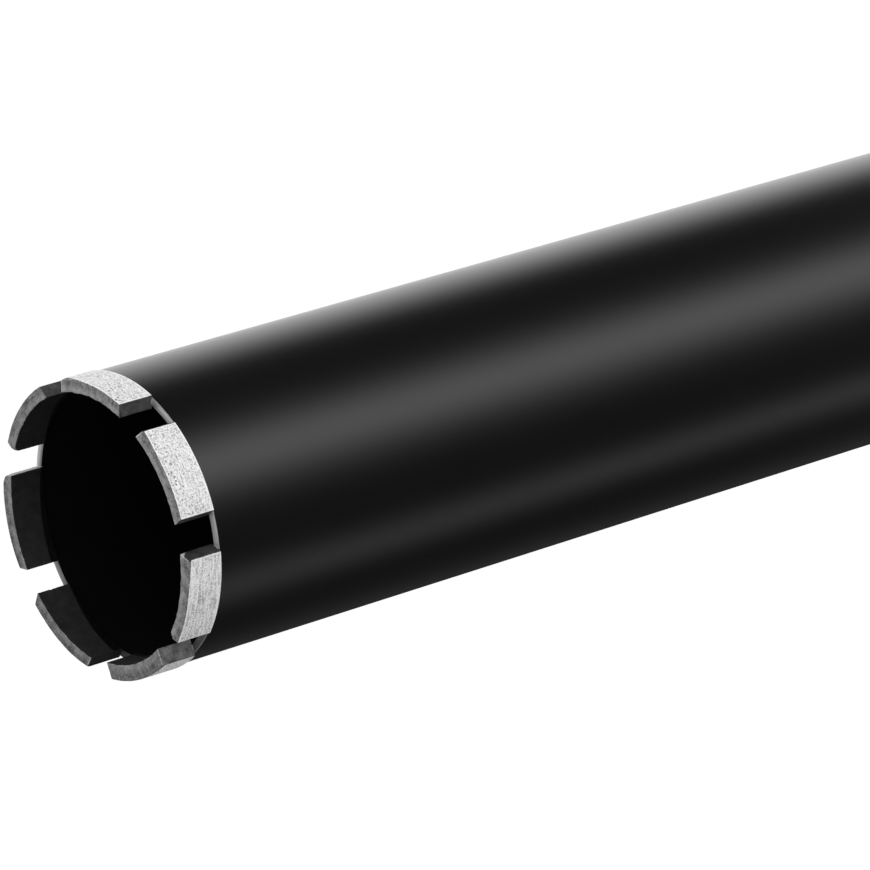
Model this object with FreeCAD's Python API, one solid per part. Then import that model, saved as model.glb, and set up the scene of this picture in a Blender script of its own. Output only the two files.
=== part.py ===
"""Diamond core bit for wet drilling in concrete, standing on its threaded hub with the cutting crown up.

A thin steel barrel is closed at the bottom by a welded end plate with a threaded hub, and carries
seven sintered diamond segments on its upper rim. The pieces, from the floor up:
threaded_hub, hub_weld, end_plate, barrel_weld, barrel, segment_1 to segment_7.

Units are millimetres. The drilling axis is +Z, and the origin is the centre of the hub's seat face,
which is where the bit bears on the spindle of the drill and what it stands on here.
"""
import FreeCAD, Part
import math
import os

# Cutting crown
crown_diameter = 77.0
segment_count = 7
segment_length = 24.0
segment_thickness = 3.5
segment_height = 10.0
segment_edge_break = 0.3

# Barrel, set in from the segments so that it clears the wall of the hole
barrel_clearance = 0.7
barrel_wall = 2.0
barrel_foot_bevel = 1.0
barrel_rim_edge_break = 0.15
drilling_depth = 450.0

# End plate, pressed into the foot of the barrel and welded round its edge
plate_thickness = 8.0
plate_press_clearance = 0.02
plate_weld_groove = 3.0

# Hub, turned from round bar, milled to a hexagon and tapped 1 1/4 inch, 7 threads to the inch
hub_height = 36.0
hub_collar_diameter = 48.0
hub_collar_height = 11.0
hub_across_flats = 41.0
hub_flat_run_out = 2.0
hub_seat_chamfer = 1.5
spigot_diameter = 38.0
spigot_clearance = 0.02
thread_minor_diameter = 28.2
thread_mouth_diameter = 33.4
thread_exit_diameter = 31.2
cutter_overrun = 1.0

# Weld beads
hub_weld_leg = 4.5
hub_weld_bulge = 0.5
barrel_weld_cap = 0.5
barrel_weld_overlap = 0.8

# Places worked out from the sizes above
UP = FreeCAD.Vector(0, 0, 1)
ORIGIN = FreeCAD.Vector(0, 0, 0)
crown_radius = crown_diameter / 2
crown_inner_radius = crown_radius - segment_thickness
barrel_radius = crown_radius - barrel_clearance
barrel_inner_radius = barrel_radius - barrel_wall
plate_radius = barrel_inner_radius - plate_press_clearance
spigot_radius = spigot_diameter / 2
collar_radius = hub_collar_diameter / 2
plate_rear_z = hub_height
plate_front_z = plate_rear_z + plate_thickness
crown_tip_z = plate_front_z + drilling_depth
rim_z = crown_tip_z - segment_height


def point(radius, z):
    """A point of a turned profile, in the XZ plane."""
    return FreeCAD.Vector(radius, 0, z)


def turned(corners):
    """Solid of revolution about +Z from the corners of a closed profile of straight lines."""
    outline = Part.makePolygon(corners + corners[:1])
    return Part.Face(outline).revolve(ORIGIN, UP, 360)


def turned_bead(corners, skin_middle):
    """Solid of revolution whose last side is an arc, from the last corner to the first."""
    sides = [Part.LineSegment(a, b).toShape() for a, b in zip(corners, corners[1:])]
    skin = Part.Arc(corners[-1], skin_middle, corners[0]).toShape()
    return Part.Face(Part.Wire(sides + [skin])).revolve(ORIGIN, UP, 360)


def barrel():
    """Cold-drawn tube: faced square at the rim that carries the segments, bevelled at the foot."""
    return turned([
        point(barrel_inner_radius, plate_rear_z),
        point(barrel_radius - barrel_foot_bevel, plate_rear_z),
        point(barrel_radius, plate_rear_z + barrel_foot_bevel),
        point(barrel_radius, rim_z - barrel_rim_edge_break),
        point(barrel_radius - barrel_rim_edge_break, rim_z),
        point(barrel_inner_radius, rim_z),
    ])


def end_plate():
    """Turned disc with a hole for the hub's spigot and a bevel that makes the weld groove."""
    hole_radius = spigot_radius + spigot_clearance
    return turned([
        point(hole_radius, plate_rear_z),
        point(plate_radius - plate_weld_groove, plate_rear_z),
        point(plate_radius, plate_rear_z + plate_weld_groove),
        point(plate_radius, plate_front_z),
        point(hole_radius, plate_front_z),
    ])


def barrel_weld():
    """Ring of weld metal that fills the groove between the plate and the foot of the barrel."""
    groove_edge = plate_radius - plate_weld_groove
    cap_edge = barrel_inner_radius + barrel_weld_overlap
    corners = [
        point(groove_edge, plate_rear_z),
        point(plate_radius, plate_rear_z + plate_weld_groove),
        point(barrel_inner_radius, plate_rear_z + plate_weld_groove),
        point(barrel_inner_radius, plate_rear_z),
        point(cap_edge, plate_rear_z),
    ]
    return turned_bead(corners, point((groove_edge + cap_edge) / 2, plate_rear_z - barrel_weld_cap))


def hub_weld():
    """Convex fillet of weld metal in the corner between the hub's collar and the plate."""
    corners = [
        point(collar_radius, plate_rear_z - hub_weld_leg),
        point(collar_radius, plate_rear_z),
        point(collar_radius + hub_weld_leg, plate_rear_z),
    ]
    reach = hub_weld_leg / 2 + hub_weld_bulge * math.cos(math.radians(45))
    return turned_bead(corners, point(collar_radius + reach, plate_rear_z - reach))


def threaded_hub():
    """Hub with spigot, collar and wrench hexagon, bored through at the thread's minor diameter."""
    bore_radius = thread_minor_diameter / 2
    mouth_radius = thread_mouth_diameter / 2
    exit_radius = thread_exit_diameter / 2
    blank = turned([
        point(mouth_radius, 0),
        point(collar_radius - hub_seat_chamfer, 0),
        point(collar_radius, hub_seat_chamfer),
        point(collar_radius, plate_rear_z),
        point(spigot_radius, plate_rear_z),
        point(spigot_radius, plate_front_z),
        point(exit_radius, plate_front_z),
        point(bore_radius, plate_front_z - (exit_radius - bore_radius)),
        point(bore_radius, mouth_radius - bore_radius),
    ])
    return blank.cut(hexagon_waste())


def hexagon(across_flats, z):
    """Outline of a hexagon about the drilling axis, with a corner on +X."""
    corner_radius = across_flats / math.sqrt(3)
    turns = [math.radians(degrees) for degrees in range(0, 360, 60)]
    corners = [FreeCAD.Vector(corner_radius * math.cos(a), corner_radius * math.sin(a), z) for a in turns]
    return Part.makePolygon(corners + corners[:1])


def hexagon_waste():
    """What the milling cutter takes off round the hexagon, sloping out where it leaves at the collar."""
    flats_top = hub_height - hub_collar_height
    slope_foot = flats_top - hub_flat_run_out
    foot = hexagon(hub_across_flats, -cutter_overrun)
    shoulder = hexagon(hub_across_flats, slope_foot)
    top = hexagon(hub_across_flats + 2 * hub_flat_run_out, flats_top)
    flats = Part.makeLoft([foot, shoulder], True, True)
    slopes = Part.makeLoft([shoulder, top], True, True)
    sweep = Part.makeCylinder(
        collar_radius + cutter_overrun, flats_top + cutter_overrun, UP * -cutter_overrun, UP)
    return sweep.cut(flats.fuse(slopes))


def segment():
    """Sintered block on +X: curved with the crown, ends cut parallel, top and end edges broken."""
    half = segment_length / 2
    outer_x = math.sqrt(crown_radius**2 - half**2)
    inner_x = math.sqrt(crown_inner_radius**2 - half**2)
    outer_start = FreeCAD.Vector(outer_x, -half, rim_z)
    outer_end = FreeCAD.Vector(outer_x, half, rim_z)
    inner_start = FreeCAD.Vector(inner_x, -half, rim_z)
    inner_end = FreeCAD.Vector(inner_x, half, rim_z)
    outline = Part.Wire([
        Part.Arc(outer_start, point(crown_radius, rim_z), outer_end).toShape(),
        Part.LineSegment(outer_end, inner_end).toShape(),
        Part.Arc(inner_end, point(crown_inner_radius, rim_z), inner_start).toShape(),
        Part.LineSegment(inner_start, outer_start).toShape(),
    ])
    block = Part.Face(outline).extrude(UP * segment_height)
    broken = [edge for edge in block.Edges if edge.BoundBox.ZMax > rim_z + segment_height / 2]
    return block.makeChamfer(segment_edge_break, broken)


def write(name, shape):
    """Saves one piece as its own STEP file."""
    solid = Part.Solid(shape) if shape.ShapeType == "Shell" else shape
    solid.exportStep("parts/" + name + ".step")


os.makedirs("parts", exist_ok=True)
write("threaded_hub", threaded_hub())
write("hub_weld", hub_weld())
write("end_plate", end_plate())
write("barrel_weld", barrel_weld())
write("barrel", barrel())
first_segment = segment()
for index in range(segment_count):
    placed = first_segment.copy()
    placed.rotate(ORIGIN, UP, index * 360 / segment_count)
    write("segment_" + str(index + 1), placed)
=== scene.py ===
import math

import bmesh
import bpy
from mathutils import Matrix, Vector, noise


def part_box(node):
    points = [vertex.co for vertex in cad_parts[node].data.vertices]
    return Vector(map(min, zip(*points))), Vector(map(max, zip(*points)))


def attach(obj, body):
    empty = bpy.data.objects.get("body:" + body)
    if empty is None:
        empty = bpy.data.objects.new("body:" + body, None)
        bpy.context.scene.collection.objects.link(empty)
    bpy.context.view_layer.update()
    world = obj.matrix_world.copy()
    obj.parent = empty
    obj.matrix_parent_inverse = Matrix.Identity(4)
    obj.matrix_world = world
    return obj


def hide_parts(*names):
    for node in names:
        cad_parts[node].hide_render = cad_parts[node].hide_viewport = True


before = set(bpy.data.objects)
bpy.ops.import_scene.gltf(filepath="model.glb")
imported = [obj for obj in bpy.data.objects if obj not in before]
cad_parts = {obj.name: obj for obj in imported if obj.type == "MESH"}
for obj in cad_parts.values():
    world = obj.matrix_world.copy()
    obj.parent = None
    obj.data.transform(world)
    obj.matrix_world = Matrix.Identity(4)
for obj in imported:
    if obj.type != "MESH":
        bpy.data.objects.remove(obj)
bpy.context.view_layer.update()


# Threaded hub. Turned from round steel bar, milled to a hexagon for the wrench and tapped right
# through for the drill's spindle. It is painted black with the rest, and its seat face and thread
# are left bare.
hub_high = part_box("threaded_hub")[1]
collar_radius = hub_high.x
hub_top = hub_high.z
plate_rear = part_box("end_plate")[0].z
hub_columns = 192
flat_turn = math.tau / 6
flats_radius = 0.0205
flats_top = 0.025
flats_run_out = 0.002
seat_chamfer = 0.0015
spigot_radius = 0.019
mouth_radius = 0.0167
exit_radius = 0.0156
minor_radius = 0.0141
major_radius = 0.015875
thread_pitch = 0.0254 / 7
thread_turns = 14
rows_per_turn = 16
flank_angle = math.radians(30)
thread_weld = 1e-6
hub_seam = 3e-7
same_place = 1e-7
machined_edge = 0.00018
machined_corner = math.radians(20)
smooth_limit = math.radians(32)


def turned_mesh(name, section, columns, closed=True):
    """Mesh about the drilling axis. section(angle) is its outline there, as pairs of radius and height."""
    shape = bmesh.new()
    rings = []
    for column in range(columns):
        angle = math.tau * column / columns
        ring = [(r * math.cos(angle), r * math.sin(angle), z) for r, z in section(angle)]
        rings.append([shape.verts.new(place) for place in ring])
    for here, beyond in zip(rings, rings[1:] + rings[:1]):
        corners = list(zip(here, beyond, beyond[1:] + beyond[:1], here[1:] + here[:1]))
        for corner in corners if closed else corners[:-1]:
            shape.faces.new(corner)
    bmesh.ops.remove_doubles(shape, verts=shape.verts, dist=same_place)
    if closed:
        bmesh.ops.recalc_face_normals(shape, faces=shape.faces)
    mesh = bpy.data.meshes.new(name)
    shape.to_mesh(mesh)
    shape.free()
    return mesh


def placed(mesh, name, *materials):
    """The mesh as an object at the origin, smooth but for its sharp edges, with its materials."""
    for material in materials:
        mesh.materials.append(material)
    mesh.shade_smooth()
    mesh.set_sharp_from_angle(angle=smooth_limit)
    piece = bpy.data.objects.new(name, mesh)
    bpy.context.scene.collection.objects.link(piece)
    return piece


def connect(tree, value, socket):
    """Wires a value of that tree to a socket, or sets a plain one on it."""
    if isinstance(value, Wire):
        tree.links.new(value.socket, socket)
    elif isinstance(value, bpy.types.NodeSocket):
        tree.links.new(value, socket)
    else:
        socket.default_value = value


def added(tree, kind, settings=None, **inputs):
    """A new node, with its settings, and with its named inputs wired or set."""
    node = tree.nodes.new(kind)
    for label, value in (settings or {}).items():
        setattr(node, label, value)
    for label, value in inputs.items():
        connect(tree, value, node.inputs[label.replace("_", " ")])
    return node


class Wire:
    """A value inside a node tree, so that a formula on wires reads like one on numbers."""

    def __init__(self, tree, socket):
        self.tree = tree
        self.socket = socket

    def made(self, kind, values, settings=None, output=0):
        """What a new node gives that takes those values in the order of its inputs."""
        node = added(self.tree, kind, settings)
        for value, socket in zip(values, node.inputs):
            connect(self.tree, value, socket)
        return Wire(self.tree, node.outputs[output])

    def math(self, operation, *others, first=None):
        values = (self, *others) if first is None else (first, self)
        return self.made("ShaderNodeMath", values, {"operation": operation})

    def __add__(self, other):
        return self.math("ADD", other)

    def __sub__(self, other):
        return self.math("SUBTRACT", other)

    def __rsub__(self, other):
        return self.math("SUBTRACT", first=other)

    def __mul__(self, other):
        return self.math("MULTIPLY", other)

    def __truediv__(self, other):
        return self.math("DIVIDE", other)

    def __rtruediv__(self, other):
        return self.math("DIVIDE", first=other)

    def least(self, other):
        return self.math("MINIMUM", other)

    def most(self, other):
        return self.math("MAXIMUM", other)

    def between(self, low, high):
        """Goes smoothly from 0 at low to 1 at high."""
        values = (self, low, high, 0.0, 1.0)
        return self.made("ShaderNodeMapRange", values, {"interpolation_type": "SMOOTHSTEP"})

    def parts(self):
        """The x, y and z of a vector."""
        node = added(self.tree, "ShaderNodeSeparateXYZ", Vector=self)
        return [Wire(self.tree, output) for output in node.outputs]

    def vector_math(self, operation, *others, output=0):
        return self.made("ShaderNodeVectorMath", (self, *others), {"operation": operation}, output)

    def scaled(self, factor):
        node = added(self.tree, "ShaderNodeVectorMath", {"operation": "SCALE"}, Vector=self, Scale=factor)
        return Wire(self.tree, node.outputs[0])


def vector(x, y, z):
    """A wire and two more wires or numbers, as one vector."""
    return x.made("ShaderNodeCombineXYZ", (x, y, z))


def given(tree, kind):
    """What a node without inputs gives, such as the position."""
    return Wire(tree, tree.nodes.new(kind).outputs[0])


def new_geometry_tree(name, **inputs):
    """A Geometry Nodes tree with named number inputs: the tree, its input wires and its two end nodes."""
    tree = bpy.data.node_groups.new(name, "GeometryNodeTree")
    tree.interface.new_socket("Geometry", in_out="INPUT", socket_type="NodeSocketGeometry")
    for label, value in inputs.items():
        kind = "NodeSocketInt" if isinstance(value, int) else "NodeSocketFloat"
        socket = tree.interface.new_socket(label.replace("_", " "), in_out="INPUT", socket_type=kind)
        socket.default_value = value
    tree.interface.new_socket("Geometry", in_out="OUTPUT", socket_type="NodeSocketGeometry")
    entry = tree.nodes.new("NodeGroupInput")
    wires = {label: Wire(tree, entry.outputs[label.replace("_", " ")]) for label in inputs}
    return tree, wires, entry, tree.nodes.new("NodeGroupOutput")


def grown(tree, name, base=None, **inputs):
    """The plain mesh that a tree makes from a base mesh, with its named inputs set."""
    seed = bpy.data.objects.new(name, base or bpy.data.meshes.new(name))
    bpy.context.scene.collection.objects.link(seed)
    maker = seed.modifiers.new("maker", "NODES")
    maker.node_group = tree
    sockets = {item.name: item.identifier for item in tree.interface.items_tree if item.in_out == "INPUT"}
    for label, value in inputs.items():
        maker[sockets[label.replace("_", " ")]] = value
    mesh = bpy.data.meshes.new_from_object(seed.evaluated_get(bpy.context.evaluated_depsgraph_get()))
    seed.modifiers.remove(maker)
    bpy.data.objects.remove(seed)
    return mesh


def finished(tree, geometry, material):
    """What a tree has made, as one plain mesh of that material."""
    plain = added(tree, "GeometryNodeRealizeInstances", Geometry=geometry)
    return added(tree, "GeometryNodeSetMaterial", Geometry=plain.outputs[0], Material=material).outputs[0]


def thread_tree(steel):
    """A right-hand internal thread, with a 45 degree countersink at each end of its hole."""
    tree, size, _, result = new_geometry_tree(
        "internal_thread",
        Minor_Radius=minor_radius, Major_Radius=major_radius, Pitch=thread_pitch, Length=hub_top,
        Mouth_Radius=mouth_radius, Exit_Radius=exit_radius, Rows_Per_Turn=rows_per_turn,
        Turns=thread_turns, Columns=hub_columns)
    sheet = added(
        tree, "GeometryNodeMeshGrid", Size_X=1.0, Size_Y=1.0,
        Vertices_X=size["Rows_Per_Turn"] * size["Turns"] + 1.0, Vertices_Y=size["Columns"] + 1.0)
    across, round_hole, _ = given(tree, "GeometryNodeInputPosition").parts()
    round_hole = round_hole + 0.5
    turn = (across + 0.5) * size["Turns"] - 1.0
    height = ((turn + round_hole) * size["Pitch"]).most(0.0).least(size["Length"])
    from_root = (turn.math("FRACT") * 2.0 - 1.0).math("ABSOLUTE") * size["Pitch"] / 2.0
    crest_flat = size["Pitch"] / 4.0
    depth = size["Major_Radius"] - size["Minor_Radius"]
    slope = math.tan(flank_angle)
    root_flat = size["Pitch"] - crest_flat - depth * 2.0 * slope
    radius = size["Major_Radius"] - (from_root - root_flat / 2.0) / slope
    radius = radius.least(size["Major_Radius"]).most(size["Minor_Radius"])
    radius = radius.most(size["Mouth_Radius"] - height)
    radius = radius.most(size["Exit_Radius"] + height - size["Length"])
    radius = radius.least(size["Exit_Radius"] - height + size["Length"])
    angle = round_hole * math.tau
    place = vector(radius * angle.math("COSINE"), radius * angle.math("SINE"), height)
    bent = added(tree, "GeometryNodeSetPosition", Geometry=sheet.outputs[0], Position=place)
    joined = added(tree, "GeometryNodeMergeByDistance", Geometry=bent.outputs[0], Distance=thread_weld)
    connect(tree, finished(tree, joined.outputs[0], steel), result.inputs[0])
    return tree


def hub_section(angle):
    """Outline of the hub outside its bore at one angle, with a corner of the hexagon on +X."""
    to_flat = abs((angle + flat_turn) % flat_turn - flat_turn / 2)
    hexagon = flats_radius / math.cos(to_flat)
    seat_edge = collar_radius - seat_chamfer
    run_out_radius = (flats_radius + flats_run_out) / math.cos(to_flat)
    run_out_top = collar_radius * math.cos(to_flat) - flats_radius + flats_top - flats_run_out
    return [
        (mouth_radius, 0),
        (min(seat_edge, hexagon), 0),
        (hexagon, max(0, hexagon - seat_edge)),
        (hexagon, flats_top - flats_run_out),
        (min(collar_radius, run_out_radius), min(flats_top, run_out_top)),
        (collar_radius, min(flats_top, run_out_top)),
        (collar_radius, plate_rear),
        (spigot_radius, plate_rear),
        (spigot_radius, hub_top),
        (exit_radius, hub_top),
    ]


def new_finish(name, **values):
    """A material and its shader, with the shader's plain values set. Gives the position wire too."""
    material = bpy.data.materials.new(name)
    material.use_nodes = True
    tree = material.node_tree
    shader = tree.nodes["Principled BSDF"]
    for label, value in values.items():
        shader.inputs[label.replace("_", " ")].default_value = value
    return material, shader, Wire(tree, tree.nodes.new("ShaderNodeTexCoord").outputs["Object"])


def grain(position, size, detail=3.0, roughness=0.5, output=0):
    """Noise from 0 to 1, with features of about that size in metres."""
    node = added(
        position.tree, "ShaderNodeTexNoise",
        Vector=position, Scale=1 / size, Detail=detail, Roughness=roughness)
    return Wire(position.tree, node.outputs[output])


def blended(share, low, high):
    """Goes from the low colour to the high one. Each is a grey level or a wire."""
    node = added(share.tree, "ShaderNodeMix", {"data_type": "RGBA"}, Factor=share)
    for value, socket in ((low, node.inputs[6]), (high, node.inputs[7])):
        connect(share.tree, value if isinstance(value, Wire) else (value, value, value, 1.0), socket)
    return Wire(share.tree, node.outputs[2])


def mottled(position, size, low, high):
    """A colour that wanders between two greys, in patches of about that size."""
    return blended(grain(position, size), low, high)


def drive(wire, shader, label):
    """Feeds one of the shader's sockets."""
    connect(wire.tree, wire, shader.inputs[label])


def roughen(position, shader, size, low, spread):
    """Roughness that wanders upwards from low by at most spread, in patches of about that size."""
    drive(grain(position, size) * spread + low, shader, "Roughness")


def carve(height, shader, depth):
    """Gives the surface a relief from a height wire of 0 to 1 that is this deep in metres."""
    node = added(height.tree, "ShaderNodeBump", Distance=depth, Height=height)
    connect(height.tree, node.outputs[0], shader.inputs["Normal"])


def reach(position):
    """Distance from the drilling axis."""
    x, y, _ = position.parts()
    return (x * x + y * y).math("SQRT")


paint_black = 0.0045
steel_grey = 0.52
seat_paint_start = 0.00004
seat_paint_full = 0.00012
bare_bore_radius = spigot_radius - 0.0024
painted_bore_radius = spigot_radius - 0.0022
corner_rub_start = 0.00034
corner_rub_full = 0.00012
corner_rub = 0.34
seat_ring_pitch = math.tau / 16000.0


def ring_marks(position, pitch):
    """The round marks of a lathe tool, from -1 to 1, so far apart."""
    return (reach(position) * (math.tau / pitch)).math("SINE")


def hub_finish():
    """Black paint over milled steel. The seat face and the thread are bare, and corners are worn."""
    material, shader, position = new_finish("hub_paint_and_steel", IOR=1.5)
    radius = reach(position)
    height = position.parts()[2]
    scuffs = grain(position, 0.0035, detail=5.0, roughness=0.65)
    seat = 1.0 - height.between(seat_paint_start, seat_paint_full)
    bore = 1.0 - radius.between(bare_bore_radius, painted_bore_radius)
    corner_radius = flats_radius / math.cos(flat_turn / 2)
    corner = radius.between(corner_radius - corner_rub_start, corner_radius - corner_rub_full)
    corner = corner * scuffs.between(0.4, 0.66)
    corner = corner * (1.0 - height.between(flats_top - flats_run_out, flats_top)) * corner_rub
    bare = seat.most(bore).most(corner)
    steel = mottled(position, size=0.0012, low=steel_grey * 0.75, high=steel_grey * 1.1)
    drive(blended(bare, paint_black, steel), shader, "Base Color")
    drive(bare, shader, "Metallic")
    roughen(position, shader, size=0.002, low=0.26, spread=0.14)
    lathe_marks = ring_marks(position, seat_ring_pitch) * seat * 0.25
    carve(grain(position, 0.0004) * 0.5 + scuffs * 0.5 + lathe_marks, shader, depth=0.000012)
    return material


hub_steel_and_paint = hub_finish()
hub_body = placed(turned_mesh("hub_body", hub_section, hub_columns, closed=False), "hub_body")
edge_break = hub_body.modifiers.new("edge_break", "BEVEL")
edge_break.width = machined_edge
edge_break.segments = 2
edge_break.limit_method = "ANGLE"
edge_break.angle_limit = machined_corner
hub_outside = bpy.data.meshes.new_from_object(
    hub_body.evaluated_get(bpy.context.evaluated_depsgraph_get()))
bpy.data.objects.remove(hub_body)
hub_shape = bmesh.new()
hub_shape.from_mesh(hub_outside)
hub_shape.from_mesh(grown(thread_tree(hub_steel_and_paint), "spindle_thread"))
bmesh.ops.remove_doubles(hub_shape, verts=hub_shape.verts, dist=hub_seam)
bmesh.ops.recalc_face_normals(hub_shape, faces=hub_shape.faces)
hub_mesh = bpy.data.meshes.new("threaded_hub_turned")
hub_shape.to_mesh(hub_mesh)
hub_shape.free()
hub = placed(hub_mesh, "threaded_hub_turned", hub_steel_and_paint)
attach(hub, "root")
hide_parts("threaded_hub")


# End plate. A turned steel disc pressed into the foot of the barrel. It carries the hub's spigot in
# its hole, and it was turned before it was painted, so its rings show through the paint.
plate_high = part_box("end_plate")[1]
plate_radius = plate_high.x
plate_front = plate_high.z
hub_clearance = 0.00002
plate_hole_radius = spigot_radius + hub_clearance
weld_groove = 0.003
plate_columns = 256
plate_ring_pitch = 0.00045


def plate_section(_):
    """Outline of the plate, with the bevel that holds the barrel's weld."""
    return [
        (plate_hole_radius, plate_rear),
        (plate_radius - weld_groove, plate_rear),
        (plate_radius, plate_rear + weld_groove),
        (plate_radius, plate_front),
        (plate_hole_radius, plate_front),
    ]


def plate_finish():
    """Black paint over the rings that the lathe tool left."""
    material, shader, position = new_finish("plate_paint", IOR=1.5)
    drive(mottled(position, size=0.006, low=paint_black, high=paint_black * 2.2), shader, "Base Color")
    roughen(position, shader, size=0.004, low=0.34, spread=0.2)
    rings = ring_marks(position, plate_ring_pitch) * 0.3 + 0.4
    carve(rings + grain(position, 0.0005) * 0.4, shader, depth=0.00002)
    return material


plate_mesh = turned_mesh("end_plate_turned", plate_section, plate_columns)
plate = placed(plate_mesh, "end_plate_turned", plate_finish())
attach(plate, "root")
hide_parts("end_plate")


# Hub weld. A convex fillet of weld metal laid round the hub's collar in one pass, so it has a
# ripple for each pulse of the torch, and it is painted over.
hub_weld_leg = 0.0045
hub_weld_bulge = 0.0005
hub_skin_offset = 0.0004
hub_skin_share = 0.68
bead_columns = 1080
bead_rows = 14
ripple_pitch = 0.0017
ripple_height = 0.00034
ripple_curve = 0.9
ripple_fall = 0.6
ripple_wander = 1.1
wander_size = 1 / 260


def arc_points(start, end, bulge, count):
    """Points on the arc from start to end that stands out by bulge to the left of that line."""
    chord = Vector(end) - Vector(start)
    along = chord.normalized()
    side = Vector((-chord.y, chord.x)).normalized()
    radius = (chord.length / 2) ** 2 / (2 * bulge) + bulge / 2
    centre = (Vector(start) + Vector(end)) / 2 + side * (bulge - radius)
    half = math.asin(chord.length / 2 / radius)
    turns = [half * (2 * step / count - 1) for step in range(count + 1)]
    return [tuple(centre + side * radius * math.cos(a) + along * radius * math.sin(a)) for a in turns]


def hub_weld_section(_):
    """Outline of the fillet: its skin, and the corner of the collar and the plate behind it."""
    toe = (collar_radius, plate_rear - hub_weld_leg)
    foot = (collar_radius + hub_weld_leg, plate_rear)
    skin = arc_points(foot, toe, -hub_weld_bulge, bead_rows)
    return skin + [(collar_radius, plate_rear)]


def ripple_tree(coat):
    """Ripples on a bead that runs round the drilling axis, strongest on the middle of its skin."""
    tree, size, entry, result = new_geometry_tree(
        "weld_ripples",
        Bead_Radius=collar_radius, Bead_Height=plate_rear, Bead_Width=hub_weld_leg,
        Pitch=ripple_pitch, Height=ripple_height)
    position = given(tree, "GeometryNodeInputPosition")
    normal = given(tree, "GeometryNodeInputNormal")
    x, y, z = position.parts()
    sideways = reach(position) - size["Bead_Radius"]
    upwards = z - size["Bead_Height"]
    off_middle = ((sideways * sideways + upwards * upwards).math("SQRT") / size["Bead_Width"]).least(1.0)
    along = y.math("ARCTAN2", x) * size["Bead_Radius"]
    wander = (grain(position, wander_size, detail=2.0) - 0.5) * ripple_wander
    phase = along / size["Pitch"] + off_middle * off_middle * ripple_curve + wander
    ridge = phase.math("FRACT").math("POWER", ripple_fall)
    lift = (ridge - 1.0) * size["Height"] * (1.0 - off_middle * off_middle)
    pushed = added(
        tree, "GeometryNodeSetPosition", Geometry=entry.outputs["Geometry"], Offset=normal.scaled(lift))
    connect(tree, finished(tree, pushed.outputs[0], coat), result.inputs[0])
    return tree


def weld_finish():
    """Black paint that lies thin on the ripples of a weld, with a few bare specks of spatter."""
    material, shader, position = new_finish("weld_paint", IOR=1.5)
    specks = grain(position, 0.0009, detail=2.0).between(0.72, 0.78)
    drive(blended(specks, paint_black * 1.4, 0.16), shader, "Base Color")
    drive(specks, shader, "Metallic")
    roughen(position, shader, size=0.0015, low=0.26, spread=0.25)
    carve(grain(position, 0.0003, detail=4.0), shader, depth=0.00003)
    return material


ripples = ripple_tree(weld_finish())
hub_weld_mesh = grown(
    ripples, "hub_weld_bead", turned_mesh("hub_weld_smooth", hub_weld_section, bead_columns),
    Bead_Radius=collar_radius + hub_weld_leg / 2 + hub_skin_offset,
    Bead_Height=plate_rear - hub_weld_leg / 2 - hub_skin_offset,
    Bead_Width=hub_weld_leg * hub_skin_share)
hub_weld = placed(hub_weld_mesh, "hub_weld_bead")
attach(hub_weld, "root")
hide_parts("hub_weld")


# Barrel. A thin cold-drawn steel tube, sprayed satin black outside, with dull black scale inside.
# Its upper rim is faced square for the segments. Between them it shows bare, with fine rings, an
# outer edge worn bare under a painted highlight, and darker towards one side of the crown.
barrel_low, barrel_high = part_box("barrel")
barrel_radius = barrel_high.x
barrel_foot = barrel_low.z
rim_height = barrel_high.z
barrel_wall = 0.002
barrel_bore = barrel_radius - barrel_wall
foot_bevel = 0.001
rim_edge = 0.00015
edge_steps = 4
barrel_columns = 720
bore_margin = 0.00001
paint_end = 0.00026
bare_start = 0.00018
paint_edge_wander = 0.00012
rim_ring_width = 0.0005
rim_ring_stretch = 0.0008
rim_wear_and_glint_start = 0.00032
rim_wear_and_glint_full = 0.00012
turning_pitch = math.tau / 30000.0
darker_side = math.radians(195.0)
darker_side_grey = 0.05


def rounded_corner(radius, height, size, outwards):
    """Points round a corner at the rim, from the wall to the rim's face."""
    steps = [math.pi / 2 * step / edge_steps for step in range(edge_steps + 1)]
    centre = radius - outwards * size
    return [(centre + outwards * size * math.cos(a), height - size + size * math.sin(a)) for a in steps]


def barrel_section(_):
    """Outline of the tube's wall."""
    return [
        (barrel_bore, barrel_foot),
        (barrel_radius - foot_bevel, barrel_foot),
        (barrel_radius, barrel_foot + foot_bevel),
        *rounded_corner(barrel_radius, rim_height, rim_edge, 1),
        *reversed(rounded_corner(barrel_bore, rim_height, rim_edge / 2, -1)),
    ]


def bore_finish():
    """Dull black scale, as the tube's bore keeps it."""
    material, shader, position = new_finish("dull_black_bore", IOR=1.2)
    drive(mottled(position, size=0.004, low=0.0008, high=0.0016), shader, "Base Color")
    roughen(position, shader, size=0.002, low=0.75, spread=0.15)
    carve(grain(position, 0.0006), shader, depth=0.00002)
    return material


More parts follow.
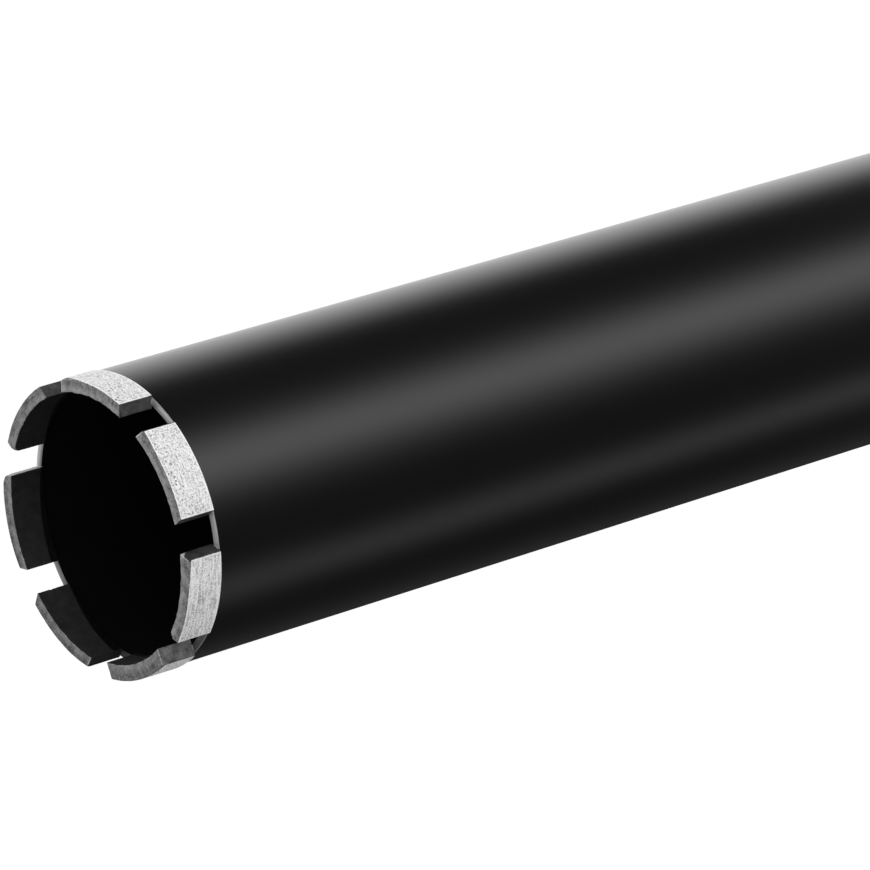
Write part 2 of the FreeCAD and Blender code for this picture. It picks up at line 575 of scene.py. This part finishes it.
def barrel_finish():
    """Satin black spray paint with its fine grain, and the bare, ringed rim that is darker towards one side.
    """
    material, shader, position = new_finish("satin_black_paint", IOR=1.5)
    radius = reach(position)
    x, y, height = position.parts()
    paint_edge = (grain(position, 0.0012) - 0.5) * paint_edge_wander
    bare = (height + paint_edge).between(rim_height - paint_end, rim_height - bare_start)
    around = y.math("ARCTAN2", x) * rim_ring_stretch
    rings = grain(vector(radius, around, 0.0), rim_ring_width, detail=2.0)
    outer_share = radius.between(barrel_bore, barrel_radius - 0.0004)
    steel = (rings * 1.6 + 0.2) * (outer_share * 0.2 + 0.19)
    # The rim's bare steel darkens towards one side of the crown.
    towards_darker_side = (x * math.cos(darker_side) + y * math.sin(darker_side)) / radius
    steel = blended(towards_darker_side.between(0.1, 0.8) * 0.84, steel, darker_side_grey)
    # A lighter line along the rim's outer edge: partly steel worn bare and partly a painted highlight on the
    # rounded edge.
    rim_edge_wear_and_glint = radius.between(barrel_radius - rim_wear_and_glint_start, barrel_radius - rim_wear_and_glint_full)
    steel = blended(rim_edge_wear_and_glint * 0.4, steel, steel_grey)
    drive(blended(bare, paint_black, steel), shader, "Base Color")
    drive(bare * 0.5, shader, "Metallic")
    satin = grain(position, 0.0004, detail=2.0) * 0.05 + grain(position, 0.03) * 0.03 + 0.25
    drive(satin + bare * 0.15, shader, "Roughness")
    turning = ring_marks(position, turning_pitch) * bare * 0.4
    carve(grain(position, 0.00045, detail=2.0) + turning, shader, depth=0.000005)
    return material


barrel_mesh = turned_mesh("barrel_tube", barrel_section, barrel_columns)
barrel = placed(barrel_mesh, "barrel_tube", barrel_finish(), bore_finish())
for face in barrel_mesh.polygons:
    in_bore = face.center.xy.length < barrel_bore + bore_margin and face.center.z > barrel_foot + foot_bevel
    face.material_index = int(in_bore)
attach(barrel, "root")
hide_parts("barrel")


# Barrel weld. A ring of weld metal in the groove between the end plate and the barrel's foot, with
# a low rippled cap, painted over like the hub's.
barrel_weld_low, barrel_weld_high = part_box("barrel_weld")
cap_edge = barrel_weld_high.x
cap_bulge = plate_rear - barrel_weld_low.z
groove_edge = plate_radius - weld_groove
bead_settle = 0.00001


def barrel_weld_section(_):
    """Outline of the ring: its cap, and the groove that it fills."""
    cap_foot = plate_rear - bead_settle
    cap = arc_points((cap_edge, cap_foot), (groove_edge, cap_foot), -cap_bulge, bead_rows)
    return cap + [
        (plate_radius - bead_settle, plate_rear + weld_groove),
        (barrel_bore - bead_settle, plate_rear + weld_groove),
    ]


barrel_weld_mesh = grown(
    ripples, "barrel_weld_bead", turned_mesh("barrel_weld_smooth", barrel_weld_section, bead_columns),
    Bead_Radius=(cap_edge + groove_edge) / 2,
    Bead_Height=plate_rear - cap_bulge,
    Bead_Width=(cap_edge - groove_edge) / 2)
barrel_weld = placed(barrel_weld_mesh, "barrel_weld_bead")
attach(barrel_weld, "root")
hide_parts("barrel_weld")


# Segments. Blocks of metal powder and diamond grit, pressed and sintered, then seated on the rim.
# The outer faces are blasted until the grit stands open, and the others keep the dark furnace skin,
# with painted shade on the ends and the bore side. Drilling has worn the front edges and some
# corners, most of all at the leading ends.
first_low, first_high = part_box("segment_1")
crown_radius = first_high.x
segment_length = first_high.y - first_low.y
segment_height = first_high.z - first_low.z
segment_thickness = 0.0035
crown_bore = crown_radius - segment_thickness
block_steps = (17, 97, 43)
block_edge = 0.0002
chip_reach = 0.0011
chip_depth = 0.00042
chip_size = 0.0016
chip_growth = 2.4
sway = 0.00007
sway_size = 1 / 420
foot_calm = 0.0002
foot_fade = 0.0015
burr = 0.0005
burr_pitch = 0.0026
shoulder_depth = 0.00028
outer_corner_depth = 0.0009
tail_corner_slope = 0.3
lead_wear = 0.00022
least_wear = 0.0001
same_spot = 0.00001
# Height of the painted shadow line along the foot of each segment's bore side.
foot_shadow_line = 0.0015
skin_border = 0.00008
pore_grey = 0.05
grit_size = 0.00017
smallest_grit = 0.5
grit_sink = 0.6
grit_stand = grit_size * (1 - grit_sink)
grit_foot = 0.0004
grit_per_square_metre = 1.6e6
seed_stride = 0.37
seed_stride_along = 0.11
# The end greys are partly each end's own skin tone and partly painted shade of how that end is lit.
# The front tones are painted light: the cutting faces of the segments towards the key lamp are brighter.
# The tilts slope the painted shadow along the foot of each bore side.
segment_marks = (
    dict(End_Grey=0.055, Front_Tone=1.04, Heat_Tilt=0.05, Shoulder_Reach=0.0019),
    dict(End_Grey=0.05, Front_Tone=0.9, Heat_Tilt=-0.1, Shoulder_Reach=0.0013,
         Inner_Corner=0.0015, Inner_Corner_Slope=0.3),
    dict(End_Grey=0.3, Front_Tone=0.84, Heat_Tilt=0.07, Shoulder_Reach=0.001,
         Trailing_Extra=0.0002, Leading_Extra=0.0003, Outer_Corner=0.0026),
    dict(End_Grey=0.012, Front_Tone=0.82, Heat_Tilt=0.12, Shoulder_Reach=0.0012,
         Trailing_Extra=0.0004, Leading_Extra=0.0003),
    dict(End_Grey=0.13, Front_Tone=0.97, Heat_Tilt=-0.04, Shoulder_Reach=0.0009, Inner_Extra=0.0008),
    dict(End_Grey=0.028, Front_Tone=1.08, Heat_Tilt=0.03, Shoulder_Reach=0.001,
         Inner_Corner=0.0018, Inner_Corner_Slope=0.08, Tail_Corner=0.0017, Pore_Share=0.35),
    dict(End_Grey=0.05, Front_Tone=1.12, Heat_Tilt=-0.06, Shoulder_Reach=0.0006,
         Inner_Extra=0.0001, Pore_Share=0.9),
)
segment_count = len(segment_marks)


def rounding(places, halves, edge):
    """How far a place lies outside the block's core, which goes on below its foot: vector and length."""
    beyond = []
    for axis, (place, half) in enumerate(zip(places, halves)):
        core = half - edge
        low = half * -2.0 if axis == 2 else core * -1.0
        beyond.append(place - place.least(core).most(low))
    offset = vector(*beyond)
    return offset, offset.vector_math("LENGTH", output=1)


def chipped(size, places, halves):
    """A place on the block, moved by its rounded edges, its chips and a slight sway."""
    offset, length = rounding(places, halves, size["Edge"])
    cut = 1.0 - size["Edge"] / length.most(size["Edge"])
    rounded = vector(*places).vector_math("SUBTRACT", offset.scaled(cut))
    wide_offset, wide_length = rounding(places, halves, size["Chip_Reach"])
    at_edge = (wide_length / size["Chip_Reach"] - 1.0).most(0.0) * chip_growth
    own = vector(size["Seed"] * seed_stride, size["Seed"] * seed_stride_along, 0.0)
    marks = rounded.vector_math("ADD", own)
    outer_side = (places[0] / halves[0]).between(-0.5, 0.9)
    chips = grain(marks, chip_size, detail=4.0, roughness=0.6).between(0.56, 0.84)
    chips = chips * (1.0 - outer_side * 0.6)
    outwards = wide_offset.scaled(1.0 / wide_length.most(1e-5))
    bite = outwards.scaled(chips * at_edge * size["Chip_Depth"])
    above_foot = (rounded.parts()[2] + halves[2]).between(foot_calm, foot_fade)
    outwardness = rounded.vector_math("DIVIDE", vector(*halves))
    drift = grain(marks, sway_size, detail=2.0, output="Color").vector_math("MULTIPLY", outwardness)
    drift = drift.scaled(size["Sway"] * above_foot)
    shaped = rounded.vector_math("SUBTRACT", bite.scaled(above_foot)).vector_math("SUBTRACT", drift)
    return shaped.parts(), above_foot


def worn(size, shaped, places, halves):
    """The chipped place after wear and with the tolerances of hand setting, and what its finish shows."""
    inwards, across, upwards = shaped
    from_bore = halves[0] + places[0]
    from_tail = halves[1] + places[1]
    from_ends = halves[1] - places[1].math("ABSOLUTE")
    under_front = halves[2] - places[2]
    leading = places[1].math("GREATER_THAN", 0.0)
    inner_share = 0.5 - inwards / halves[0] * 0.5
    across = across + (across / halves[1]).most(0.0) * inner_share * size["Leading_Extra"]
    across = across + (across / halves[1]).least(0.0) * inner_share * size["Trailing_Extra"]
    lip = places[0].between(halves[0] * -0.4, halves[0] * -1.0) * places[2].between(0.0, halves[2])
    wave = grain(vector(across + size["Seed"] * seed_stride, 0.0, 0.0), burr_pitch)
    inwards = inwards + (wave - 0.5) * 2.0 * lip * size["Burr"]
    lead_share = (places[1] / halves[1]).most(0.0)
    lead_share = lead_share * lead_share
    worn_back = size["Shoulder_Reach"] * lead_share
    over_edge = (1.0 - under_front / (worn_back + least_wear)).most(0.0)
    fallen = over_edge * over_edge * lead_share * (places[0] / halves[0]).between(-0.4, 1.0)
    inwards = inwards - fallen * size["Shoulder_Depth"]
    inwards = inwards - inner_share * size["Inner_Extra"]
    corner_wear = (size["Inner_Corner"] - from_bore - from_ends).most(0.0) * leading
    corner_drop = (corner_wear - under_front).most(0.0) * size["Inner_Corner_Slope"]
    across = across - corner_drop
    upwards = upwards - corner_drop
    tail_wear = (size["Tail_Corner"] - from_bore - from_ends).most(0.0) * (1.0 - leading)
    tail_wear = (tail_wear - under_front * tail_corner_slope).most(0.0) * 0.5
    across = across + tail_wear
    inwards = inwards + tail_wear
    corner_reach = size["Outer_Corner"] + same_spot
    near_tail = (1.0 - from_tail / corner_reach).most(0.0)
    near_front = (1.0 - under_front / corner_reach).most(0.0)
    outer_share = places[0] / halves[0] * 0.5 + 0.5
    inwards = inwards - near_tail * near_tail * near_front * outer_share * size["Outer_Corner_Depth"]
    # Height above the painted shadow line at the foot, which the per-segment tilt slopes along the segment.
    above_foot_shadow = places[2] + halves[2] - size["Heat_Line"] - places[1] * size["Heat_Tilt"]
    # The tones carry painted light: the end-face grey is partly painted shade, and the front tone is a
    # painted light level.
    notes = {
        "face_depths": vector(halves[0] - places[0], under_front, from_ends),
        "face_tones_and_light": vector(size["End_Grey"], size["Front_Tone"], above_foot_shadow),
        "face_wear": vector(worn_back, leading, corner_wear),
        "face_pores": vector(size["Pore_Share"], 0.0, 0.0),
    }
    return (inwards, across, upwards), notes


def grit_on(tree, size, skin):
    """Diamond crystals sunk in the worked faces of a segment's skin, of random size and lie."""
    position = given(tree, "GeometryNodeInputPosition")
    above_rim = position.parts()[2] - size["Foot"]
    worked_radius = size["Bore_Radius"] + size["Thickness"] - size["Stand"] * 2.0
    on_outside = (reach(position) - worked_radius).math("GREATER_THAN", 0.0)
    on_front = (above_rim - size["Height"] + size["Stand"] * 2.0).math("GREATER_THAN", 0.0)
    worked = on_outside.most(on_front) * above_rim.math("GREATER_THAN", grit_foot)
    scatter = added(
        tree, "GeometryNodeDistributePointsOnFaces",
        Mesh=skin, Selection=worked, Density=size["Grit_Density"], Seed=size["Seed"])
    inset = Wire(tree, scatter.outputs["Normal"]).scaled(size["Grit_Size"] * -grit_sink)
    sunk = added(tree, "GeometryNodeSetPosition", Geometry=scatter.outputs["Points"], Offset=inset)
    crystal = added(tree, "GeometryNodeMeshIcoSphere", Radius=1.0, Subdivisions=1)
    known = added(
        tree, "GeometryNodeStoreNamedAttribute", {"data_type": "BOOLEAN", "domain": "FACE"},
        Geometry=crystal.outputs["Mesh"], Name="is_grit", Value=True)
    spread = tree.nodes.new("FunctionNodeRandomValue")
    spread.inputs[2].default_value = smallest_grit
    spread.inputs[3].default_value = 1.0
    lie = added(tree, "FunctionNodeRandomValue", {"data_type": "FLOAT_VECTOR"})
    lie.inputs[1].default_value = (math.tau, math.tau, math.tau)
    seats = added(
        tree, "GeometryNodeInstanceOnPoints", Points=sunk.outputs[0], Instance=known.outputs[0],
        Rotation=lie.outputs[0], Scale=Wire(tree, spread.outputs[1]) * size["Grit_Size"])
    return seats.outputs[0]


def segment_tree(matrix, diamond):
    """One segment in its place on the crown, with its own wear, chips and grit."""
    tree, size, _, result = new_geometry_tree(
        "sintered_segment",
        Bore_Radius=crown_bore, Thickness=segment_thickness, Length=segment_length, Height=segment_height,
        Foot=first_low.z, Edge=block_edge, Chip_Reach=chip_reach, Chip_Depth=chip_depth, Sway=sway,
        Stand=grit_stand, Grit_Size=grit_size, Grit_Density=grit_per_square_metre, End_Grey=0.1,
        Front_Tone=1.0, Heat_Line=foot_shadow_line, Heat_Tilt=0.0, Burr=burr, Shoulder_Reach=0.0,
        Shoulder_Depth=shoulder_depth, Trailing_Extra=0.0, Leading_Extra=0.0, Inner_Extra=0.0,
        Inner_Corner=0.0, Inner_Corner_Slope=0.0, Outer_Corner=0.0, Outer_Corner_Depth=outer_corner_depth,
        Tail_Corner=0.0, Pore_Share=1.0, Turn=0.0, Seed=0)
    columns, lengths, rows = block_steps
    block = added(
        tree, "GeometryNodeMeshCube", Size=(2.0, 2.0, 2.0),
        Vertices_X=columns, Vertices_Y=lengths, Vertices_Z=rows)
    evenly = given(tree, "GeometryNodeInputPosition").parts()
    halves = [size["Thickness"] / 2.0, size["Length"] / 2.0, size["Height"] / 2.0]
    places = [(t * 1.5 - t * t * t * 0.5) * half for t, half in zip(evenly, halves)]
    shaped, above_foot = chipped(size, places, halves)
    (inwards, across, upwards), notes = worn(size, shaped, places, halves)
    radius = (inwards + halves[0]) * (1.0 - size["Stand"] / size["Thickness"]) + size["Bore_Radius"]
    outwards = (radius * radius - across * across).math("SQRT")
    height = upwards + halves[2] + size["Foot"] - size["Stand"] * above_foot
    cosine, sine = size["Turn"].math("COSINE"), size["Turn"].math("SINE")
    place = vector(outwards * cosine - across * sine, outwards * sine + across * cosine, height)
    noted = block.outputs["Mesh"]
    for name, value in notes.items():
        noted = added(
            tree, "GeometryNodeStoreNamedAttribute", {"data_type": "FLOAT_VECTOR"},
            Geometry=noted, Name=name, Value=value).outputs[0]
    bent = added(tree, "GeometryNodeSetPosition", Geometry=noted, Position=place)
    both = tree.nodes.new("GeometryNodeJoinGeometry")
    connect(tree, grit_on(tree, size, bent.outputs[0]), both.inputs[0])
    connect(tree, bent.outputs[0], both.inputs[0])
    is_grit = added(tree, "GeometryNodeInputNamedAttribute", {"data_type": "BOOLEAN"}, Name="is_grit")
    crystals = added(
        tree, "GeometryNodeSetMaterial", Geometry=finished(tree, both.outputs[0], matrix),
        Selection=is_grit.outputs[0], Material=diamond)
    connect(tree, crystals.outputs[0], result.inputs[0])
    return tree


def noted_on(position, name):
    """The three parts of a vector that the mesh carries under that name."""
    node = added(position.tree, "ShaderNodeAttribute", {"attribute_name": name})
    return Wire(position.tree, node.outputs["Vector"]).parts()


def pits(position, size, width):
    """1 in small round pits that far apart, of any width up to that one."""
    warp = vector(*[grain(position, size * 0.4)] * 3).scaled(size * 0.35)
    node = added(
        position.tree, "ShaderNodeTexVoronoi", Vector=position.vector_math("ADD", warp), Scale=1 / size)
    radius = (Wire(position.tree, node.outputs["Color"]).parts()[0] + 0.15) * (width / 2)
    return 1.0 - (Wire(position.tree, node.outputs["Distance"]) * size).between(radius * 0.6, radius * 1.2)


def wrinkles(position, size, sharpness):
    """1 along fine wandering ridges that far apart, falling to 0 between them."""
    return (1.0 - (grain(position, size, detail=2.0) - 0.5).math("ABSOLUTE") * sharpness).most(0.0)


def matrix_finish():
    """Sintered metal: pale and open where blasted, ground grey on the cutting face, and dark elsewhere."""
    material, shader, position = new_finish("sintered_matrix", IOR=1.4)
    outer, front, end = noted_on(position, "face_depths")
    end_grey_and_shade, front_painted_light, above_foot_shadow = noted_on(position, "face_tones_and_light")
    worn_back, leading, corner_wear = noted_on(position, "face_wear")
    pore_share = noted_on(position, "face_pores")[0]
    inner = segment_thickness - outer
    foot = segment_height - front

    behind_shoulder = front - worn_back
    before_end = end - leading * lead_wear
    shoulder = outer + worn_back
    ragged = (grain(position, 0.0007, detail=4.0) - 0.5) * 0.0003
    open_depth = behind_shoulder.least(before_end).least(foot + 0.0002).least(inner)
    beside_front = shoulder.least(end).least(inner)
    blasted = (open_depth + ragged - outer).between(-skin_border, skin_border)
    cutting = (beside_front + ragged - front + corner_wear).between(-skin_border, skin_border)
    cutting = cutting * (1.0 - blasted)
    bore_side = (front.least(end).least(outer) + ragged - inner).between(-skin_border, skin_border)
    # A lighter band along the edges of the blasted outer face: partly burnished wear and partly a painted
    # highlight where the rounded edges catch the light.
    worn_edge_and_highlight = 1.0 - behind_shoulder.least(before_end).least(foot).between(0.00012, 0.00045)
    worn_edge_and_highlight = worn_edge_and_highlight * blasted

    x, y, height = position.parts()
    angle = y.math("ARCTAN2", x)
    radius = reach(position)
    across_face = vector(angle * crown_radius, radius * 0.16, height * 0.3)
    along_face = vector(angle * crown_radius * 0.12, radius, height)
    ridges = wrinkles(position, 0.0009, 9.0)
    speckle = grain(position, 0.0006, detail=6.0, roughness=0.7)
    fine = grain(position, 0.00014, detail=2.0)
    mottle = grain(position, 0.0026, detail=5.0, roughness=0.62)
    cross_marks = grain(across_face, 0.0005, detail=2.0)
    streaks = grain(along_face, 0.00045)
    open_grain = grain(position, 0.00034, detail=4.0, roughness=0.6)
    pores = pits(position, 0.00085, 0.00054) * (1.0 - front.between(0.001, 0.008) * 0.7) * pore_share

    # The end faces' grey is partly their skin's tone and partly painted shade of how each end is lit.
    skin = end_grey_and_shade * (mottle * 3.0 + speckle * 1.6 - 1.3).most(0.3)
    # The bore side is darkened nearly to black, partly its dark skin and partly painted shade, and below a
    # tilted line near its foot it turns fully black as a painted shadow.
    out_of_foot_shadow = (above_foot_shadow + ragged).between(-0.00012, 0.00022)
    skin = blended(bore_side, skin, (mottle * 0.026 + 0.004) * out_of_foot_shadow)

    # Thin lighter lines along the borders of the cutting face and at the leading ends: partly wear and
    # partly a painted highlight on the edges.
    rubbed_and_highlight = (1.0 - beside_front.between(0.00008, 0.00026)) * mottle.between(0.45, 0.6)
    corner_patch = corner_wear.between(0.0001, 0.0005)
    rubbed_and_highlight = rubbed_and_highlight + (1.0 - end.between(0.0002, 0.00045)) * (leading * 2.0 - corner_patch * 1.6)
    ground = grain(position, 0.006, detail=1.0).between(0.42, 0.6)
    inner_band = inner.between(0.0023, 0.0009)
    marks = blended(ground, cross_marks, streaks) * (1.0 - inner_band * 0.8) + inner_band * 0.5
    worn_grey_and_light = (mottle * 0.52 + marks * 0.3 + speckle * 0.46 + fine * 0.2 - 0.58).most(0.05)
    # The cutting face's grey is scaled by a painted light level, brighter on the segments towards the key
    # lamp.
    worn_grey_and_light = (worn_grey_and_light + inner_band * 0.05 + rubbed_and_highlight * 0.1) * front_painted_light

    texture = (open_grain - 0.5) * (pore_share * 0.6 + 0.4) + (streaks - 0.5) * (1.05 - pore_share * 0.7)
    texture = (texture + speckle * 0.3 + fine * 0.2 + 0.675).between(0.68, 1.16)
    # The blasted face's grey, lifted at its edges by that painted highlight.
    open_grey_and_highlight = (texture * 0.68 + ridges * 0.34 + 0.285 + worn_edge_and_highlight * 0.3).least(0.95)

    colour = blended(blasted, blended(cutting, skin, worn_grey_and_light), open_grey_and_highlight)
    colour = blended(pores * (blasted * (1.0 - worn_edge_and_highlight) + cutting * 0.3), colour, pore_grey)
    drive(colour, shader, "Base Color")
    drive(cutting * 0.25 + blasted * (ridges * 0.2 + 0.06) + 0.05, shader, "Metallic")
    drive(speckle * 0.2 + blasted * 0.1 + 0.45, shader, "Roughness")
    relief = speckle * 0.5 + ridges * 0.3 + fine * 0.25 + mottle * 0.3 + marks * 0.15 - pores * 0.8
    carve(relief, shader, depth=0.00011)
    return material


def grit_finish():
    """Man-made diamond: grey, glassy crystals."""
    material, shader, position = new_finish("diamond_grit", IOR=1.9)
    drive(mottled(position, size=0.0005, low=0.1, high=0.5), shader, "Base Color")
    roughen(position, shader, size=0.0003, low=0.15, spread=0.2)
    carve(grain(position, 0.0001), shader, depth=0.00001)
    return material


segment_maker = segment_tree(matrix_finish(), grit_finish())
for number, marks in enumerate(segment_marks, start=1):
    turn = math.tau * (number - 1) / segment_count
    block_mesh = grown(segment_maker, f"segment_{number}_sintered", Turn=turn, Seed=number, **marks)
    block = placed(block_mesh, f"segment_{number}_sintered")
    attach(block, "root")
    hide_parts(f"segment_{number}")


# Braze. The little silver solder that ran out at the ends of each segment when it was joined, and
# set as a rough fillet on the rim.
fillet_rise = 0.0005
fillet_run = 0.0004
fillet_steps = 36
fillet_rows = 6
fillet_margin = 0.0002
fillet_root = 0.0003
fillet_sink = 0.0001
smallest_swell = 0.2


def braze_fillet(shape, turn, end, number):
    """One fillet across the rim, in the corner between a segment's end and the rim's face."""
    rings = []
    for step in range(fillet_steps + 1):
        share = step / fillet_steps
        radius = barrel_bore + fillet_margin + share * (barrel_wall - 2 * fillet_margin)
        rough = 0.6 + 0.6 * noise.noise((share * 2.2, number * 3.1, end * 7.7))
        swell = max(smallest_swell, rough) * math.sin(math.pi * (0.12 + 0.76 * share)) ** 0.5
        run, rise = fillet_run * swell, fillet_rise * swell
        turns = [math.pi / 2 * row / fillet_rows for row in range(fillet_rows + 1)]
        outline = [(run * (1 - math.sin(a)), rise * (1 - math.cos(a))) for a in turns]
        outline += [(-fillet_root, rise), (-fillet_root, -fillet_sink), (run, -fillet_sink)]
        ring = []
        for out, up in outline:
            across = end * (segment_length / 2 + out)
            outwards = math.sqrt(radius**2 - across**2)
            spot = Matrix.Rotation(turn, 3, "Z") @ Vector((outwards, across, 0))
            ring.append(shape.verts.new((spot.x, spot.y, rim_height + up)))
        rings.append(ring)
    for here, beyond in zip(rings, rings[1:]):
        for corner in zip(here, beyond, beyond[1:] + beyond[:1], here[1:] + here[:1]):
            shape.faces.new(corner)
    shape.faces.new(rings[0])
    shape.faces.new(reversed(rings[-1]))


def braze_finish():
    """Silver solder, cast rough and dulled by its flux."""
    material, shader, position = new_finish("silver_braze", Metallic=1.0)
    drive(mottled(position, size=0.0007, low=0.25, high=0.6), shader, "Base Color")
    roughen(position, shader, size=0.0004, low=0.38, spread=0.25)
    carve(grain(position, 0.0003), shader, depth=0.00002)
    return material


fillets = bmesh.new()
for number in range(segment_count):
    for end in (-1, 1):
        braze_fillet(fillets, math.tau * number / segment_count, end, number)
bmesh.ops.remove_doubles(fillets, verts=fillets.verts, dist=same_place)
bmesh.ops.recalc_face_normals(fillets, faces=fillets.faces)
braze_mesh = bpy.data.meshes.new("braze_fillets")
fillets.to_mesh(braze_mesh)
fillets.free()
braze = placed(braze_mesh, "braze_fillets", braze_finish())
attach(braze, "root")


# Floor. A wide pale sheet under the hub, white to the camera and to gloss, which keeps the shadow.
floor_half = 12.0
floor_white = 0.82
floor_share = 0.8
floor_glow = 1.12


def seen_directly(tree):
    """1 where the camera, gloss or glass looks, and 0 for light that only bounces."""
    path = tree.nodes.new("ShaderNodeLightPath")
    rays = ("Is Camera Ray", "Is Glossy Ray", "Is Transmission Ray")
    camera, glossy, clear = (Wire(tree, path.outputs[ray]) for ray in rays)
    return camera.most(glossy).most(clear)


def empty_material(name):
    """A material with nothing in its node tree yet, and that tree."""
    material = bpy.data.materials.new(name)
    material.use_nodes = True
    material.node_tree.nodes.clear()
    return material, material.node_tree


def floor_finish():
    """Pale paper that glows white where it is looked at."""
    material, tree = empty_material("floor_paper")
    paper = added(tree, "ShaderNodeBsdfDiffuse", Color=(floor_white, floor_white, floor_white, 1.0))
    glow = added(tree, "ShaderNodeEmission", Strength=floor_glow)
    share = seen_directly(tree) * floor_share
    both = share.made("ShaderNodeMixShader", (share, paper.outputs[0], glow.outputs[0]))
    added(tree, "ShaderNodeOutputMaterial", Surface=both)
    return material


floor_mesh = bpy.data.meshes.new("floor")
floor_corners = [(-1, -1), (1, -1), (1, 1), (-1, 1)]
floor_mesh.from_pydata([(x * floor_half, y * floor_half, 0.0) for x, y in floor_corners], [], [(0, 1, 2, 3)])
floor_mesh.materials.append(floor_finish())
floor = bpy.data.objects.new("floor", floor_mesh)
bpy.context.scene.collection.objects.link(floor)


# Light. Soft lamps at a plain level, and a round screen of strip panels and black cards about the
# barrel, which only gloss can see. The screen's angles are in degrees from the camera's side.
camera_side = math.radians(-64.25)
ambient_level = 0.62
screen_radius = 0.25
screen_top = 0.8
screen_columns = 360
card_level = 0.02
strips = (
    dict(middle=20.5, width=15.0, strength=2.02),
    dict(middle=-65.5, width=9.5, strength=0.56),
    dict(middle=-135.0, width=26.0, strength=0.055),
)
strip_fall = -0.693
panel_start = 88.0
panel_full = 125.0
panel_level = 1.55
panel_fade_start = 163.0
panel_fade_end = 180.0
panel_fade = 0.25
lamps = (
    dict(name="key_lamp", azimuth=-9.0, elevation=20.0, distance=1.5, width=1.1, level=0.36),
    dict(name="fill_lamp", azimuth=-66.0, elevation=14.0, distance=1.7, width=1.2, level=0.16),
)


def screen_finish():
    """Light of the strips and the panel round the screen. A strip's light halves at its width."""
    material, tree = empty_material("screen_light")
    x, y, _ = Wire(tree, tree.nodes.new("ShaderNodeTexCoord").outputs["Object"]).parts()
    angle = (y.math("ARCTAN2", x) - camera_side).math("WRAP", math.pi, -math.pi) * math.degrees(1)
    fade = 1.0 - angle.between(panel_fade_start, panel_fade_end) * panel_fade
    level = angle.between(panel_start, panel_full) * fade * panel_level + card_level
    for strip in strips:
        off = (angle - strip["middle"]) / strip["width"]
        level = level + (off * off * strip_fall).math("EXPONENT") * strip["strength"]
    glow = added(tree, "ShaderNodeEmission", Strength=level)
    added(tree, "ShaderNodeOutputMaterial", Surface=glow.outputs[0])
    return material


def screen_wall(_):
    """Outline of the screen's wall, bottom to top."""
    return [(screen_radius, 0.0), (screen_radius, screen_top)]


def shine(name, azimuth, elevation, distance, width, level):
    """A round soft lamp, facing the crown from that far away, unseen by the camera and by gloss."""
    lamp = bpy.data.lights.new(name, "AREA")
    lamp.shape = "DISK"
    lamp.size = width
    lamp.energy = level * math.pi**2 * distance**2
    holder = bpy.data.objects.new(name, lamp)
    bpy.context.scene.collection.objects.link(holder)
    direction = Vector((
        math.cos(math.radians(azimuth)) * math.cos(math.radians(elevation)),
        math.sin(math.radians(azimuth)) * math.cos(math.radians(elevation)),
        math.sin(math.radians(elevation))))
    holder.location = Vector((0, 0, rim_height)) + direction * distance
    holder.rotation_euler = direction.to_track_quat("Z", "Y").to_euler()
    holder.visible_camera = False
    holder.visible_glossy = False


screen_mesh = turned_mesh("light_screen", screen_wall, screen_columns, closed=False)
screen = placed(screen_mesh, "light_screen", screen_finish())
for ray in ("camera", "diffuse", "transmission", "shadow", "volume_scatter"):
    setattr(screen, "visible_" + ray, False)
for lamp in lamps:
    shine(**lamp)

world = bpy.data.worlds.new("studio")
world.use_nodes = True
bpy.context.scene.world = world
sky = world.node_tree
background = sky.nodes["Background"]
background.inputs["Color"].default_value = (1.0, 1.0, 1.0, 1.0)
sky_level = seen_directly(sky) * (1.0 - ambient_level) + ambient_level
connect(sky, sky_level, background.inputs["Strength"])


# Camera. A long lens, looking down on the open crown, and rolled so that the barrel runs to the
# upper right of the picture.
camera_place = Vector((0.56577, -1.17601, 1.342065))
camera_heading = math.radians(115.7619)
camera_down = math.radians(36.232)
camera_roll = math.radians(106.7572)
lens_length = 260.903
sensor_width = 36.0

camera_data = bpy.data.cameras.new("camera")
camera_data.lens = lens_length
camera_data.sensor_width = sensor_width
camera_data.clip_start = 0.05
camera_data.clip_end = 50.0
camera = bpy.data.objects.new("camera", camera_data)
bpy.context.scene.collection.objects.link(camera)
heading = Matrix.Rotation(camera_heading - math.pi / 2, 4, "Z")
tilt = Matrix.Rotation(math.pi / 2 - camera_down, 4, "X")
roll = Matrix.Rotation(-camera_roll, 4, "Z")
camera.matrix_world = Matrix.Translation(camera_place) @ heading @ tilt @ roll
bpy.context.scene.camera = camera
bpy.context.scene.view_settings.view_transform = "Standard"
